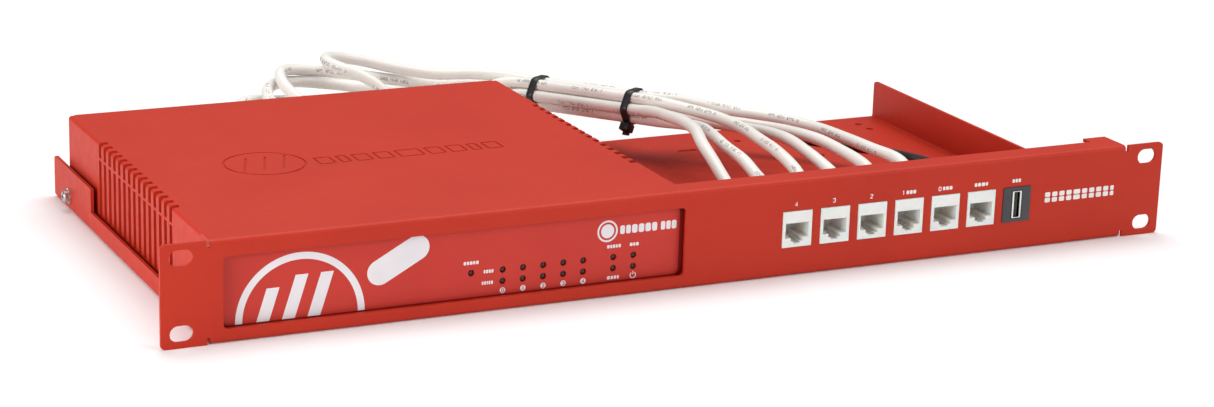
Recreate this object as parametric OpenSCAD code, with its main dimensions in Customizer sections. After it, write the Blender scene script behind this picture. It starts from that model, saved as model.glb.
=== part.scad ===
// Desktop firewall appliance in a one-unit 19 inch rack tray kit.
// One folded sheet carries the appliance on the left and seven panel couplers on the right.
// Patch cords run from the couplers, through two cable ties, to the sockets at the appliance's back.
// Frame: origin at the centre of the rack-hole pattern on the rear face of the ears,
// X to the right seen from the front, Y to the back, Z up.

/* [Rack panel] */
// Overall width of the panel, ears included
panel_w = 482.6; // [480:0.1:484]
// Height of the panel
panel_h = 43.9; // [43.5:0.1:44.4]
// Thickness of the folded sheet
sheet_t = 1.5; // [1.2:0.1:1.8]
// Outer radius of every fold
bend_r = 2; // [1.9:0.1:3]
// Distance between the two columns of rack slots
rack_pitch_x = 465.1; // [464:0.1:466]
// Distance between the upper and the lower rack slots
rack_pitch_z = 31.75; // [31.5:0.05:32]
// Length of a rack slot
rack_slot_l = 10; // [8:0.5:12]
// Width of a rack slot
rack_slot_w = 7; // [6:0.1:7.5]
// Depth of the folded lip along the top edge
lip_d = 10; // [8:0.5:12]
// Depth of the tab at the right end of the lip
tab_d = 16; // [12:0.5:20]

/* [Tray] */
// Width over the side flanges
tray_w = 445; // [440:1:448]
// Depth from the rear face of the ears to the rear edge of the floor
tray_d = 226; // [222:1:240]
// Height of the right flange over the underside of the tray
right_flange_h = 20.6; // [14:0.2:30]
// Height of the tall rear part of the left flange
left_tab_h = 20; // [16:0.2:30]
// Length of the tall rear part of the left flange
left_tab_l = 61; // [40:1:90]
// Height of the low part of the left flange
left_flange_h = 9; // [6:0.5:12]

/* [Window] */
// Width of the window in front of the appliance
window_w = 208; // [200:1:210]
// Height of the window
window_h = 30.6; // [26:0.2:32]
// Height of the window's centre over the panel's centre
window_z = -0.7; // [-1.5:0.1:0.5]
// Corner radius of the window
window_r = 2; // [1:0.5:5]

/* [Couplers] */
// Place of the first coupler to the right of the panel's centre
jack_x = 48; // [40:1:56]
// Distance between couplers
jack_pitch = 19; // [18:0.5:20]
// Height of the couplers' centre over the panel's centre
jack_z = -0.4; // [-1:0.1:1]
// Width of a coupler's face
jack_w = 14.5; // [14:0.1:14.6]
// Height of a coupler's face
jack_h = 16.3; // [16:0.1:16.5]
// Length of a coupler behind the ears' rear face
jack_l = 33; // [27:0.5:34]

/* [Appliance] */
// Width of the appliance
app_w = 216; // [210:1:217]
// Depth of the appliance from its front bezel to its rear wall
app_d = 209.5; // [200:0.5:212]
// Gap from the ears' rear face to the appliance's front bezel
app_y = 2.5; // [1.5:0.5:4]
// Height of the appliance without its feet
app_h = 38.5; // [36:0.5:38.5]
// Height of the rubber feet
foot_h = 2; // [1.5:0.1:2]
// Wall thickness of the cover
cover_t = 1.2; // [1:0.1:1.4]
// Outer radius of the cover's upper edges
cover_r = 1.5; // [1.5:0.1:2.5]
// Depth of the front bezel
bezel_d = 9.5; // [8:0.5:11]
// Number of vent slots on each side
vent_count = 15; // [8:1:15]
// Distance between vent slots
vent_pitch = 7.5; // [6:0.1:7.5]
// Width of a vent slot
vent_w = 3.8; // [2:0.1:4.5]

/* [Cords] */
// Diameter of a patch cord
patch_d = 5.8; // [5:0.1:6]
// Diameter of the black data cord
data_d = 4.5; // [4:0.1:5]
// Width of a cable tie
tie_w = 3.8; // [3.6:0.1:5]
// Thickness of a cable tie's strap
tie_t = 1; // [0.9:0.1:1.5]

/* [Hidden] */
$fn = 48;
eps = 0.01;
clear = 0.1;

// Tray levels
floor_z = -panel_h / 2;
floor_top = floor_z + sheet_t;
side_x = tray_w / 2 - bend_r;
side_y = 3;
relief_w = 1.5;
relief_d = 3;
ear_r = 2;
tab_w = 12;
window_x = -111;

// Appliance levels and faces
app_x = window_x;
app_x0 = app_x - app_w / 2;
app_x1 = app_x + app_w / 2;
app_z0 = floor_top + foot_h;
app_z1 = app_z0 + app_h;
app_y1 = app_y + app_d;
cover_y0 = app_y + bezel_d;
cover_flange_h = 8;
cover_screw_x = [app_x0 + 24, app_x1 - 24];
cover_screw_z = app_z1 - 4;
wall_t = 1;
foot_places = [for (x = [app_x0 + 14, app_x1 - 14], y = [30, 195]) [x, y]];
vent_y0 = 55.5;
vent_low_z = -14;
vent_rib_z = 12.2;
vent_rib_h = 1.1;
vent_wrap = 3.9;

// Circuit board, its stand-offs, and the chip that the heat sink cools
board_x0 = app_x0 + 7;
board_x1 = app_x1 - 6;
board_y0 = 60;
board_y1 = app_y1 - 4;
board_z = app_z0 + 9.95;
board_t = 1.6;
standoffs = [for (x = [board_x0 + 8, board_x1 - 8], y = [board_y0 + 8, board_y1 - 50]) [x, y]];
chip_x = -120;
chip_y = 120;
chip_t = 2.2;

// What the rear wall carries
port_z = 0;
usb_port_x = -62;
usb_port_z = -5;
socket_h = 13.5;
usb_shell_w = 13.2;
usb_shell_h = 5.8;
dc_x = -16;
dc_z = -3;
reset_x = -172;
reset_z = -5.5;
ground_x = app_x0 + 19;
ground_z = -3;

// Fixing screw through the left flange, and the holes that 3 mm screws pass or bite into
screw_y = 201;
screw_z = -15;
screw_d = 2.9;
flange_hole_d = 3.4;
free_hole_d = 3.2;
thread_hole_d = 3;

// Indicator windows: one on its own, five pairs, then two pairs
led_d = 2.8;
led_upper_z = -5.3;
led_pitch_z = 5;
led_single_x = -105.4;
led_first_x = -91;
led_pitch_x = 9.35;
led_mode_x = -39.4;
led_power_x = -29.9;
led_places = concat(
    [[led_single_x, led_upper_z]],
    [for (i = [0:4], k = [0, 1]) [led_first_x + i * led_pitch_x, led_upper_z - k * led_pitch_z]],
    [for (x = [led_mode_x, led_power_x], k = [0, 1]) [x, led_upper_z - k * led_pitch_z]]
);

// Eight-way modular socket and plug
mouth_w = 11.8;
mouth_h = 6.8;
mouth_d = 13;
jack_face_y = -sheet_t - 0.4;
plug_z = jack_z - 0.6;
plug_l = 21.5;
boot_l = 12;
plug_in = 12.5;
plug_y = jack_l - plug_in;
port_face_y = app_y1 + 0.5;
rear_plug_y = port_face_y - plug_in;
cord_y = plug_y + plug_l + boot_l;
rear_cord_y = rear_plug_y + plug_l + boot_l;

// Data plug: metal nose, moulded grip, strain relief
nose_l = 12;
grip_l = 20;
relief_l = 7.5;
usb_x = jack_x + 6 * jack_pitch;
usb_cord_y = jack_l + 0.5 + grip_l + relief_l;
usb_rear_cord_y = port_face_y + 0.5 + grip_l + relief_l;

// Sockets at the appliance's back, seen from above: the console socket, then five network sockets
console_x = -41;
lan_x = -84;
lan_pitch = 16;
rear_socket_x = concat([for (i = [4:-1:0]) lan_x - i * lan_pitch], [console_x]);

// The bundle: seven cords in a hexagon between two ties
bundle_pitch = patch_d + 0.1;
bundle_row = bundle_pitch * sin(60);
tie_front = [66, 200, 4];
tie_rear = [37, 250, 1];
bundle_u = (tie_rear - tie_front) / norm(tie_rear - tie_front);
bundle_n = [bundle_u[1], -bundle_u[0], 0] / norm([bundle_u[0], bundle_u[1]]);
tie_margin = 6;
// Each cord's place in the bundle: across, then up
bundle_slots = [
    [-bundle_pitch, 0],
    [-bundle_pitch / 2, -bundle_row],
    [-bundle_pitch / 2, bundle_row],
    [0, 0],
    [bundle_pitch, 0],
    [bundle_pitch / 2, bundle_row],
    [bundle_pitch / 2, -bundle_row]
];

// Routes from each coupler to the front tie, one list for each cord
front_routes = [
    [[48, 59, -0.5], [49, 70, 3], [51, 86, 8], [54, 102, 11], [59.5, 120, 12.5], [63, 140, 11.5],
        [65, 160, 9], [66.5, 178, 6.5]],
    [[67, 59, -0.5], [67.5, 72, 2], [67.5, 86, 6], [67, 102, 8], [70, 122, 8.5], [75, 142, 6.5],
        [75.5, 162, 3.5], [71, 181, 0.5]],
    [[86, 59, -0.5], [87, 72, 4], [88, 90, 7], [90, 112, 7.5], [92, 134, 7.5], [90, 155, 7.5],
        [82, 174, 8], [73, 187, 9]],
    [[105, 59, -0.5], [105, 74, 2.5], [106, 94, 4.5], [108.5, 116, 4.5], [109, 138, 2.5],
        [102, 158, 1], [90, 175, 1], [78, 187, 2.5]],
    [[124, 59, -0.5], [124.5, 73, 2.5], [125.5, 95, 3], [125, 118, 3], [121, 142, 1.5], [113, 162, 0],
        [100, 178, 0], [86, 190, 1.5]],
    [[143, 59, -0.5], [143.5, 72, 3], [143.5, 96, 2], [143, 122, 1], [140, 146, 0.5], [130, 168, 0.5],
        [114, 181, 2], [98, 184, 5.5], [84, 188.5, 9]],
    [[162, 66, -0.4], [163.5, 78, -1.5], [167, 98, -5], [166, 120, -8], [158, 143, -10.5],
        [145, 159, -10.5], [133, 172, -9.5], [119, 184, -7], [104, 193, -4.5], [88, 197, -2.5]]
];

// Routes from the rear tie to each socket at the appliance's back
rear_routes = [
    [[19, 258, -1.5], [2, 261, -4], [-16, 261, -5], [-40, 260, -5.5], [-64, 260, -7], [-88, 261, -9.5],
        [-112, 262, -11.5], [-128, 262.5, -11.5], [-140, 259, -9.5], [-148, 252, -6], [-150, 244, -2.5],
        [-148.5, 239, -0.6]],
    [[20, 262, -8], [3, 266, -10.5], [-16, 266, -11], [-40, 266, -11.5], [-64, 267, -12],
        [-88, 270, -11.5], [-104, 272, -9.5], [-116, 272, -7], [-126, 269, -4.5], [-132.5, 262, -2],
        [-134.5, 253, -0.6], [-133, 244, 0]],
    [[21, 263, 4.5], [8, 269, -1.5], [-8, 272, -6], [-28, 272, -7], [-48, 271, -4.5], [-66, 273, -1.5],
        [-84, 277, 0.5], [-97, 278, 1], [-108, 276, 2.8], [-116, 269, 3.6], [-119, 260, 3],
        [-118, 250, 1.6], [-116.3, 241, 0.2]],
    [[24, 268, -1], [8, 276, -3.5], [-10, 280, -3.5], [-30, 279, 0.5], [-50, 278, 4.5], [-66, 280, 7],
        [-80, 283, 8.5], [-92, 281, 9.5], [-100, 274.5, 9], [-103.5, 266, 6.5], [-102.5, 255, 2.5],
        [-100.5, 245, 0.3]],
    [[30, 272, 0.5], [12, 283, 0], [-8, 287, 0.5], [-28, 287, 4.5], [-46, 285, 8.5], [-64, 284, 12],
        [-78, 284.5, 14], [-87, 282.5, 15.5], [-93.5, 276, 15.5], [-95, 267.5, 12.5], [-92, 259.5, 8],
        [-87.5, 252, 3.5], [-84.6, 244.5, 0.6]],
    [[27, 268, 6.5], [11, 277, 7], [-8, 281, 7.5], [-28, 285, 11], [-45, 288, 15.5], [-58, 287, 18.5],
        [-67, 281, 20.5], [-70, 273, 20.5], [-66, 265, 19], [-58, 260, 16], [-50, 255, 11],
        [-43.5, 248, 3], [-41, 241, 0.4]],
    [[27, 268, -9], [12, 275, -13], [-8, 277, -15.5], [-28, 274, -17], [-46, 267, -17.5],
        [-57, 259, -15.5], [-62, 251, -9.5], [-62.5, 246, -6]]
];

function bundle_point(tie, shift, k) = tie + shift * bundle_u + bundle_slots[k][0] * bundle_n
    + [0, 0, bundle_slots[k][1]];

function patch_route(k) = concat(
    [[jack_x + k * jack_pitch, cord_y, plug_z]],
    front_routes[k],
    [for (tie = [tie_front, tie_rear], shift = [-tie_margin, tie_margin]) bundle_point(tie, shift, k)],
    rear_routes[k],
    [[rear_socket_x[k], rear_cord_y, port_z]]
);

function data_route() = concat(
    [[usb_x, usb_cord_y, jack_z]],
    front_routes[6],
    [for (tie = [tie_front, tie_rear], shift = [-tie_margin, tie_margin]) bundle_point(tie, shift, 6)],
    rear_routes[6],
    [[usb_port_x, usb_rear_cord_y, usb_port_z]]
);

// ---- Flat shapes ----

module rounded_rect(w, h, r) {
    square([w - 2 * r, h], center = true);
    square([w, h - 2 * r], center = true);
    for (x = [-1, 1], y = [-1, 1]) {
        translate([x * (w / 2 - r), y * (h / 2 - r)]) circle(r = r);
    }
}

module slot_shape(l, w) {
    square([l - w, w], center = true);
    for (x = [-1, 1]) translate([x * (l - w) / 2, 0]) circle(d = w);
}

// Quarter ring of a fold, in the quadrant that the two signs name
module fold_shape(sx, sy) {
    intersection() {
        difference() {
            circle(r = bend_r);
            circle(r = bend_r - sheet_t);
        }
        translate([sx < 0 ? -bend_r : 0, sy < 0 ? -bend_r : 0]) square(bend_r);
    }
}

// Stands a flat shape up facing the front: shape's x to X, its y to Z, thickness forward of y
module facing_front(y, t) {
    translate([0, y, 0]) rotate([90, 0, 0]) linear_extrude(t) children();
}

// Stands a flat shape up facing the side: shape's x to Y, its y to Z, thickness from x rightward
module facing_side(x, t) {
    translate([x, 0, 0]) rotate([90, 0, 90]) linear_extrude(t) children();
}

module box(x0, x1, y0, y1, z0, z1) {
    translate([x0, y0, z0]) cube([x1 - x0, y1 - y0, z1 - z0]);
}

module rod_y(x, z, y0, y1, d) {
    translate([x, y0, z]) rotate([-90, 0, 0]) cylinder(h = y1 - y0, d = d);
}

module cone_y(x, z, y0, y1, d0, d1) {
    translate([x, y0, z]) rotate([-90, 0, 0]) cylinder(h = y1 - y0, d1 = d0, d2 = d1);
}

// ---- Rack tray ----

module panel_outline() {
    difference() {
        rounded_rect(panel_w, panel_h, ear_r);
        for (s = [-1, 1]) {
            translate([0, s * panel_h / 2]) square([2 * side_x, 2 * bend_r], center = true);
            translate([s * (side_x + relief_w / 2), 0]) relief_pair();
        }
    }
}

// Relief slots at the top and bottom of one ear's root
module relief_pair() {
    for (s = [-1, 1]) translate([0, s * panel_h / 2]) square([relief_w, 2 * relief_d], center = true);
}

module panel_cutouts() {
    for (x = [-1, 1], z = [-1, 1]) {
        translate([x * rack_pitch_x / 2, z * rack_pitch_z / 2]) slot_shape(rack_slot_l, rack_slot_w);
    }
    translate([window_x, window_z]) rounded_rect(window_w, window_h, window_r);
    for (i = [0:6]) {
        translate([jack_x + i * jack_pitch, jack_z]) square([jack_w + 0.3, jack_h + 0.3], center = true);
    }
}

module top_lip() {
    z1 = panel_h / 2;
    facing_side(-side_x, 2 * side_x) translate([bend_r - sheet_t, z1 - bend_r]) fold_shape(-1, 1);
    box(-side_x, side_x, bend_r - sheet_t, lip_d, z1 - sheet_t, z1);
    box(side_x - tab_w, side_x, bend_r - sheet_t, tab_d, z1 - sheet_t, z1);
}

// Holes and tie slots in the floor
module floor_holes() {
    hole_places = [[128, 204], [138, 166], [156, 166], [205, 213], [206, 203], [-190, 110], [-30, 110]];
    hole_d = 4;
    slot_places = [[95, 196], [95, 120], [180, 120]];
    slot_l = 11;
    slot_w = 3;
    translate([0, 0, floor_z - 1]) linear_extrude(sheet_t + 2) {
        for (place = hole_places) translate(place) circle(d = hole_d);
        for (place = slot_places) translate(place) slot_shape(slot_l, slot_w);
    }
}

module tray_floor() {
    difference() {
        union() {
            facing_side(-side_x, 2 * side_x) {
                translate([bend_r - sheet_t, floor_z + bend_r]) fold_shape(-1, -1);
            }
            box(-side_x, side_x, bend_r - sheet_t, tray_d, floor_z, floor_top);
        }
        floor_holes();
    }
    for (s = [-1, 1]) {
        facing_front(tray_d, tray_d - side_y) {
            translate([s * side_x, floor_z + bend_r]) fold_shape(s, -1);
        }
    }
}

// A side flange's outline from its fold upward, with a rounded rear corner
module flange_outline(y0, h) {
    z0 = floor_z + bend_r;
    corner_r = 2;
    difference() {
        translate([y0, z0]) square([tray_d - y0, h - bend_r]);
        translate([tray_d - corner_r, floor_z + h - corner_r]) square(corner_r + 1);
    }
    translate([tray_d - corner_r, floor_z + h - corner_r]) circle(r = corner_r);
}

module left_flange() {
    difference() {
        facing_side(-tray_w / 2, sheet_t) {
            translate([side_y, floor_z + bend_r]) {
                square([tray_d - left_tab_l - side_y + 1, left_flange_h - bend_r]);
            }
            flange_outline(tray_d - left_tab_l, left_tab_h);
        }
        translate([-tray_w / 2 - 1, screw_y, screw_z]) rotate([0, 90, 0]) cylinder(h = 4, d = flange_hole_d);
    }
}

module right_flange() {
    facing_side(tray_w / 2 - sheet_t, sheet_t) flange_outline(side_y, right_flange_h);
}

module rack_tray() {
    color("firebrick") {
        facing_front(0, sheet_t) {
            difference() {
                panel_outline();
                panel_cutouts();
            }
        }
        top_lip();
        tray_floor();
        left_flange();
        right_flange();
    }
}

// Pan-head screw and washer that fix the appliance through the left flange
module fixing_screw() {
    washer_d = 7.4;
    washer_t = 0.6;
    head_d = 5.8;
    head_top_d = 4.4;
    head_h = 2.6;
    shank_l = 8;
    recess_l = 3.2;
    recess_w = 0.8;
    color("silver") translate([-tray_w / 2, screw_y, screw_z]) rotate([0, -90, 0]) {
        difference() {
            union() {
                cylinder(h = washer_t, d = washer_d);
                cylinder(h = head_h, d = head_d);
                translate([0, 0, head_h - eps]) cylinder(h = 0.6, d1 = head_d, d2 = head_top_d);
                translate([0, 0, -shank_l]) cylinder(h = shank_l + eps, d = screw_d);
            }
            for (a = [0, 90]) rotate(a) {
                translate([-recess_l / 2, -recess_w / 2, head_h - 0.8]) cube([recess_l, recess_w, 3]);
            }
        }
    }
}

// ---- Couplers ----

// Hollow of a modular socket that opens forward (-Y) at y = 0, centred on the plug's axis
module socket_mouth() {
    latch_w = 6.2;
    latch_h = 1.7;
    finger_w = 3.6;
    finger_h = 0.8;
    translate([-mouth_w / 2, -eps, -mouth_h / 2]) cube([mouth_w, mouth_d, mouth_h]);
    translate([-latch_w / 2, -eps, -mouth_h / 2 - latch_h]) cube([latch_w, mouth_d, latch_h + eps]);
    translate([-finger_w / 2, -eps, -mouth_h / 2 - latch_h - finger_h]) {
        cube([finger_w, mouth_d - 4, finger_h + eps]);
    }
}

// Coupler housing with the catches that hold it behind the panel
module coupler_body() {
    catch_y = 0.15;
    upper_catch = [10, 3.2, 1.1];
    lower_catch = [jack_w, 8, 1.2];
    z0 = jack_z - jack_h / 2;
    z1 = jack_z + jack_h / 2;
    box(-jack_w / 2, jack_w / 2, jack_face_y, jack_l, z0, z1);
    box(-upper_catch[0] / 2, upper_catch[0] / 2, catch_y, upper_catch[1], z1 - eps, z1 + upper_catch[2]);
    box(-lower_catch[0] / 2, lower_catch[0] / 2, catch_y, lower_catch[1], z0 - lower_catch[2], z0 + eps);
}

module coupler(i) {
    color("white") translate([jack_x + i * jack_pitch, 0, 0]) {
        difference() {
            coupler_body();
            translate([0, jack_face_y, plug_z]) socket_mouth();
            translate([0, jack_l, plug_z]) rotate([180, 0, 0]) socket_mouth();
        }
    }
}

// Upright block in the middle of the data coupler, larger than the liner by grow on each side
module liner_box(grow, y0, y1) {
    w = 2.9 + grow;
    h = 6.6 + grow;
    box(-w, w, y0, y1, jack_z - h, jack_z + h);
}

module usb_coupler() {
    color("dimgray") translate([usb_x, 0, 0]) {
        difference() {
            coupler_body();
            liner_box(clear, jack_face_y - 1, jack_l + 1);
        }
    }
}

// Metal liner of the data coupler, open at both ends with a web in the middle
module usb_coupler_shell() {
    liner_t = 0.3;
    web_y = 12;
    color("silver") translate([usb_x, 0, 0]) {
        difference() {
            liner_box(0, jack_face_y + 0.2, jack_l - 0.2);
            liner_box(-liner_t, jack_face_y - 1, web_y);
            liner_box(-liner_t, web_y + 2, jack_l + 1);
        }
    }
}

// ---- Plugs ----

// Modular plug with its latch below, its boot behind and a hood over the latch's end, nose at y = 0
module modular_plug() {
    body_w = 11.6;
    body_h = 6.6;
    under = -body_h / 2;
    latch_w = 5.8;
    latch_y = plug_l - 4;
    hood_y = plug_l - 1;
    hood_l = 9;
    hood_top = -3;
    hood_drop = 9.6;
    collar_w = 10;
    collar_h = 7.2;
    collar_l = 4;
    boot_end_d = 6.6;
    box(-body_w / 2, body_w / 2, 0, plug_l, under, body_h / 2);
    facing_side(-latch_w / 2, latch_w) {
        polygon([[1, under + eps], [1, under - 0.5], [plug_in, under - 1.5], [latch_y, under - 3],
            [latch_y, under - 2.1], [plug_in, under - 0.6], [3, under + eps]]);
        polygon([[hood_y, hood_top], [hood_y, 2 - hood_drop], [hood_y + 2.5, -hood_drop],
            [hood_y + hood_l, -hood_drop], [hood_y + hood_l - 2, hood_top]]);
    }
    box(-collar_w / 2, collar_w / 2, plug_l - eps, plug_l + collar_l, -collar_h / 2, collar_h / 2);
    cone_y(0, 0, plug_l + collar_l - eps, plug_l + boot_l, collar_h, boot_end_d);
}

module front_plug(k) {
    color("white") translate([jack_x + k * jack_pitch, plug_y, plug_z]) mirror([0, 0, 1]) modular_plug();
}

module rear_plug(k) {
    color("white") translate([rear_socket_x[k], rear_plug_y, port_z]) modular_plug();
}

// Data plug with its broad side along X, rear face of the metal nose at y = 0
module data_plug() {
    nose_w = 12.1;
    nose_h = 4.6;
    grip_w = 16;
    grip_h = 8.4;
    relief_start_d = 6.6;
    relief_end_d = 5.2;
    box(-nose_w / 2, nose_w / 2, -nose_l, eps, -nose_h / 2, nose_h / 2);
    facing_front(grip_l, grip_l) rounded_rect(grip_w, grip_h, 2);
    cone_y(0, 0, grip_l - eps, grip_l + relief_l, relief_start_d, relief_end_d);
}

module usb_plug_front() {
    color("black") translate([usb_x, jack_l + 0.5, jack_z]) rotate([0, 90, 0]) data_plug();
}

module usb_plug_rear() {
    color("black") translate([usb_port_x, port_face_y + 0.5, usb_port_z]) data_plug();
}

// ---- Cords ----

function unit(v) = v / norm(v);
function heading(pts, i) = unit(pts[min(i + 1, len(pts) - 1)] - pts[max(i - 1, 0)]);
function ring(p, t, r, sides) = let (s = unit(cross(t, [0, 0, 1])), u = cross(s, t))
    [for (a = [0:sides - 1]) p + r * (cos(a * 360 / sides) * s + sin(a * 360 / sides) * u)];

// Tube of one polyhedron along a route
module tube(pts, d, sides) {
    n = len(pts);
    points = [for (i = [0:n - 1]) each ring(pts[i], heading(pts, i), d / 2, sides)];
    walls = [for (i = [0:n - 2], a = [0:sides - 1]) let (b = (a + 1) % sides)
        [i * sides + a, i * sides + b, (i + 1) * sides + b, (i + 1) * sides + a]];
    first = [for (a = [sides - 1:-1:0]) a];
    last = [for (a = [0:sides - 1]) (n - 1) * sides + a];
    polyhedron(points, concat([first], walls, [last]));
}

module patch_cord(k) {
    color("whitesmoke") tube(patch_route(k), patch_d, 10);
}

module usb_cord() {
    color("black") tube(data_route(), data_d, 8);
}

// Strap round the bundle with its locking head below and to one side, and the cut end beside the head
module cable_tie(place) {
    inner_r = bundle_pitch + patch_d / 2 + clear;
    outer_r = inner_r + tie_t;
    head_turn = 30;
    head_size = [4.2, 6.2, tie_w + 1.6];
    end_size = [4.4, 1.2, tie_w];
    color("black") translate(place) {
        rotate([0, acos(bundle_u[2]), atan2(bundle_u[1], bundle_u[0])]) {
            rotate_extrude() translate([inner_r, -tie_w / 2]) square([tie_t, tie_w]);
            rotate(head_turn) {
                translate([outer_r + 1.6, 0, 0]) cube(head_size, center = true);
                translate([outer_r + 3, 1.2, 0]) cube(end_size, center = true);
            }
        }
    }
}

// ---- Appliance housing ----

module cover_section(inset, r) {
    w = app_w - 2 * inset;
    h = app_h - inset;
    translate([app_x - w / 2, app_z0]) square([w, h - r]);
    translate([app_x - w / 2 + r, app_z0]) square([w - 2 * r, h]);
    for (s = [-1, 1]) translate([app_x + s * (w / 2 - r), app_z0 + h - r]) circle(r = r);
}

// Vent slots of one side, in two lengths that leave a thin rib between them
module vent_slots() {
    for (i = [0:vent_count - 1]) {
        y0 = vent_y0 + i * vent_pitch - vent_w / 2;
        box(app_x0 - 1, app_x0 + cover_t + 0.5, y0, y0 + vent_w, vent_low_z, vent_rib_z);
        box(app_x0 - 1, app_x0 + vent_wrap, y0, y0 + vent_w, vent_rib_z + vent_rib_h, app_z1 + 1);
    }
}

// Plain engraved ring with three bars, and a row of plain outlined blocks beside it
module cover_engraving() {
    depth = 0.4;
    line_w = 1;
    ring_place = [app_x - 49.5, app_y + 103.5];
    ring_r = 18.5;
    bar_l = 22;
    bar_step = 9;
    bar_slant = 70;
    row_x = ring_r + 4;
    row_y = -4;
    block_h = 11;
    block_w = [8, 5, 8, 8, 12, 8, 8, 5, 8];
    gap = 2.3;
    translate([ring_place[0], ring_place[1], app_z1 - depth]) linear_extrude(depth + 1) {
        difference() {
            circle(r = ring_r, $fn = 72);
            circle(r = ring_r - line_w, $fn = 72);
        }
        for (i = [-1:1]) translate([i * bar_step, 0]) rotate(bar_slant) slot_shape(bar_l, line_w);
        for (i = [0:len(block_w) - 1]) {
            before = [for (k = [0:i]) k < i ? block_w[k] + gap : 0];
            x = row_x + before * [for (k = [0:i]) 1] + block_w[i] / 2;
            translate([x, row_y]) difference() {
                rounded_rect(block_w[i], block_h, 1.5);
                rounded_rect(block_w[i] - 2 * line_w, block_h - 2 * line_w, 0.7);
            }
        }
    }
}

module top_cover() {
    color("firebrick") difference() {
        union() {
            facing_front(app_y1, app_y1 - cover_y0) {
                difference() {
                    cover_section(0, cover_r);
                    translate([0, -eps]) cover_section(cover_t, cover_r - cover_t);
                }
            }
            box(app_x0 + 3, app_x1 - 3, app_y1 - eps, app_y1 + cover_t, app_z1 - cover_flange_h, app_z1);
            box(app_x0 + 3, app_x1 - 3, app_y1 - cover_t, app_y1 + cover_t, app_z1 - cover_t, app_z1);
        }
        vent_slots();
        translate([2 * app_x, 0, 0]) mirror([1, 0, 0]) vent_slots();
        cover_engraving();
        translate([app_x0 - 1, screw_y, screw_z]) rotate([0, 90, 0]) cylinder(h = 4, d = free_hole_d);
        for (x = cover_screw_x) rod_y(x, cover_screw_z, app_y1 - 1, app_y1 + 3, free_hole_d);
    }
}

// Cross-recessed screw along Y, its head standing backward from y
module pan_head_y(x, z, y, shank_l) {
    head_d = 5.4;
    head_h = 2;
    recess_l = 1.5;
    recess_w = 0.35;
    difference() {
        union() {
            rod_y(x, z, y, y + head_h, head_d);
            rod_y(x, z, y - shank_l, y + eps, screw_d);
        }
        box(x - recess_l, x + recess_l, y + 1, y + 3, z - recess_w, z + recess_w);
        box(x - recess_w, x + recess_w, y + 1, y + 3, z - recess_l, z + recess_l);
    }
}

module cover_screw(i) {
    color("silver") pan_head_y(cover_screw_x[i], cover_screw_z, app_y1 + cover_t, 5);
}

module rear_wall_cutouts() {
    gap = 0.3;
    y0 = app_y1 - 3;
    y1 = app_y1 + 1;
    z0 = board_z - gap;
    z1 = board_z + socket_h + gap;
    box(lan_x - 4.5 * lan_pitch - gap, lan_x + lan_pitch / 2 + gap, y0, y1, z0, z1);
    box(console_x - lan_pitch / 2 - gap, console_x + lan_pitch / 2 + gap, y0, y1, z0, z1);
    box(usb_port_x - usb_shell_w / 2 - gap, usb_port_x + usb_shell_w / 2 + gap, y0, y1,
        usb_port_z - usb_shell_h / 2 - gap, usb_port_z + usb_shell_h / 2 + gap);
    rod_y(dc_x, dc_z, y0, y1, 9.2);
    rod_y(reset_x, reset_z, y0, y1, 3);
    rod_y(ground_x, ground_z, y0, y1, screw_d + clear);
    for (x = cover_screw_x) rod_y(x, cover_screw_z, y0, y1, screw_d + clear);
}

// Floor, rear wall and low side walls inside the cover, with stand-offs for the board
module chassis_base() {
    x0 = app_x0 + cover_t + clear;
    x1 = app_x1 - cover_t - clear;
    y0 = cover_y0 + 5;
    side_h = 7;
    color("firebrick") difference() {
        union() {
            box(x0, x1, y0, app_y1 - eps, app_z0, app_z0 + wall_t);
            box(x0, x1, app_y1 - wall_t, app_y1 - eps, app_z0, app_z1 - cover_t - clear);
            box(x0, x0 + wall_t, y0, app_y1 - eps, app_z0, app_z0 + side_h);
            box(x1 - wall_t, x1, y0, app_y1 - eps, app_z0, app_z0 + side_h);
            for (p = standoffs) {
                translate([p[0], p[1], app_z0]) cylinder(h = board_z - board_t - app_z0, d = 6.5);
            }
        }
        rear_wall_cutouts();
        for (p = standoffs) translate([p[0], p[1], board_z - 7]) cylinder(h = 8, d = thread_hole_d);
        translate([app_x0, screw_y, screw_z]) rotate([0, 90, 0]) cylinder(h = 4, d = thread_hole_d);
    }
}

module bezel_section(inset) {
    w = app_w - 2 * inset;
    h = app_h - 2 * inset;
    translate([app_x, (app_z0 + app_z1) / 2]) rounded_rect(w, h, max(0.5, 2 - inset));
}

module front_bezel() {
    plate_t = 2.5;
    color("firebrick") difference() {
        union() {
            facing_front(cover_y0, bezel_d) bezel_section(0);
            facing_front(cover_y0 + 4, 5) bezel_section(cover_t + clear);
        }
        facing_front(cover_y0 + 5, bezel_d + 5 - plate_t) bezel_section(cover_t + clear + 1.2);
        for (p = led_places) rod_y(p[0], p[1], app_y - 1, app_y + plate_t + 1, led_d);
    }
}

// Printed overlay on the bezel
module bezel_film() {
    color("indianred") difference() {
        facing_front(app_y, 0.25) {
            translate([app_x, (app_z0 + app_z1) / 2]) rounded_rect(app_w - 6, app_h - 4, 2);
        }
        for (p = led_places) rod_y(p[0], p[1], app_y - 1, app_y + 1, led_d + 0.2);
    }
}

// Light guides joined by a carrier bar behind the bezel
module light_pipes() {
    color("darkslategray") {
        box(led_single_x - 3, led_power_x + 3, app_y + 3.2, app_y + 5.2,
            led_upper_z - led_pitch_z - 3, led_upper_z + 3);
        for (p = led_places) rod_y(p[0], p[1], app_y + 0.7, app_y + 3.3, led_d - 0.2);
    }
}

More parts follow.
